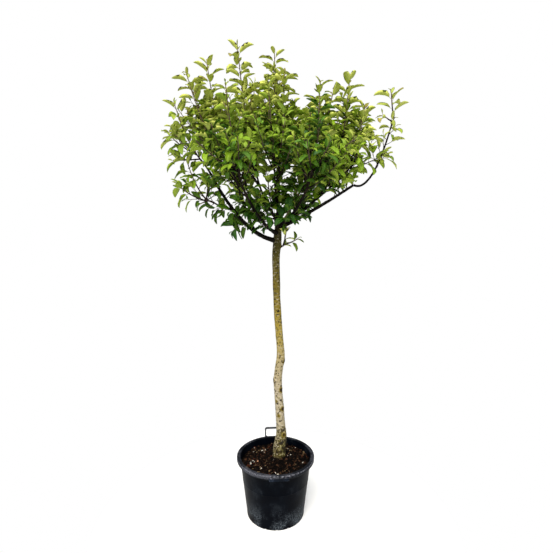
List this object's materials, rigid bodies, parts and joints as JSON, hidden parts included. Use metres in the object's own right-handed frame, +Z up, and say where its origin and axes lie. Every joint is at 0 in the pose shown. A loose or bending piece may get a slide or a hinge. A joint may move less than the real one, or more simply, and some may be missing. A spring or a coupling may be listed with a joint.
{
  "type": "potted apple tree",
  "caption": "Young half-standard apple tree with a clear stem and an open leafy crown, in a black nursery pot with two swinging carry handles.",
  "frame": {"origin": "centre of the pot's flat underside", "axes": "+Z up along the trunk, -Y towards the front of the tree, +X to its right as seen from the front"},
  "size_m": [1.2413, 1.0256, 2.3721],
  "materials": {
    "pot_plastic": "moulded, dusty satin",
    "handle_plastic": "moulded satin",
    "compost": "damp bark chips",
    "trunk_bark": "smooth bark with scars and moss",
    "bough_bark": "young bark",
    "foliage": "soft satin leaves"
  },
  "bodies": {
    "root": {"pot": "pot_plastic", "compost": "compost", "trunk": "trunk_bark", "bough_left_low": "bough_bark", "bough_left_mid": "bough_bark", "bough_left_under": "bough_bark", "bough_centre_left": "bough_bark", "bough_leader": "bough_bark", "bough_right_low": "bough_bark", "bough_right_tip": "bough_bark", "bough_right_mid": "bough_bark", "bough_right_outer": "bough_bark", "bough_right_inner": "bough_bark", "bough_front_left": "bough_bark", "bough_front_right": "bough_bark", "bough_front_mid": "bough_bark", "bough_back_left": "bough_bark", "bough_back_right": "bough_bark", "bough_back_mid": "bough_bark", "foliage_left_far": "foliage", "foliage_left_high": "foliage", "foliage_left_low": "foliage", "foliage_centre_left": "foliage", "foliage_leader": "foliage", "foliage_right_inner": "foliage", "foliage_right_high": "foliage", "foliage_right_far": "foliage", "foliage_right_outer": "foliage", "foliage_front_left": "foliage", "foliage_front_right": "foliage", "foliage_front_mid": "foliage", "foliage_back_left": "foliage", "foliage_back_right": "foliage", "foliage_back_mid": "foliage", "foliage_fork": "foliage", "foliage_sprout": "foliage"},
    "front_handle": {"handle_front": "handle_plastic"},
    "back_handle": {"handle_back": "handle_plastic"}
  },
  "joints": [
    {"name": "front_handle_swing", "type": "hinge", "parent": "root", "child": "front_handle", "pos_m": [0.0144, -0.206, 0.302], "axis": [0.9976, 0.0698, 0], "range_deg": [-88, 137]},
    {"name": "back_handle_swing", "type": "hinge", "parent": "root", "child": "back_handle", "pos_m": [-0.0144, 0.206, 0.302], "axis": [-0.9976, -0.0698, 0], "range_deg": [-25, 200]}
  ]
}
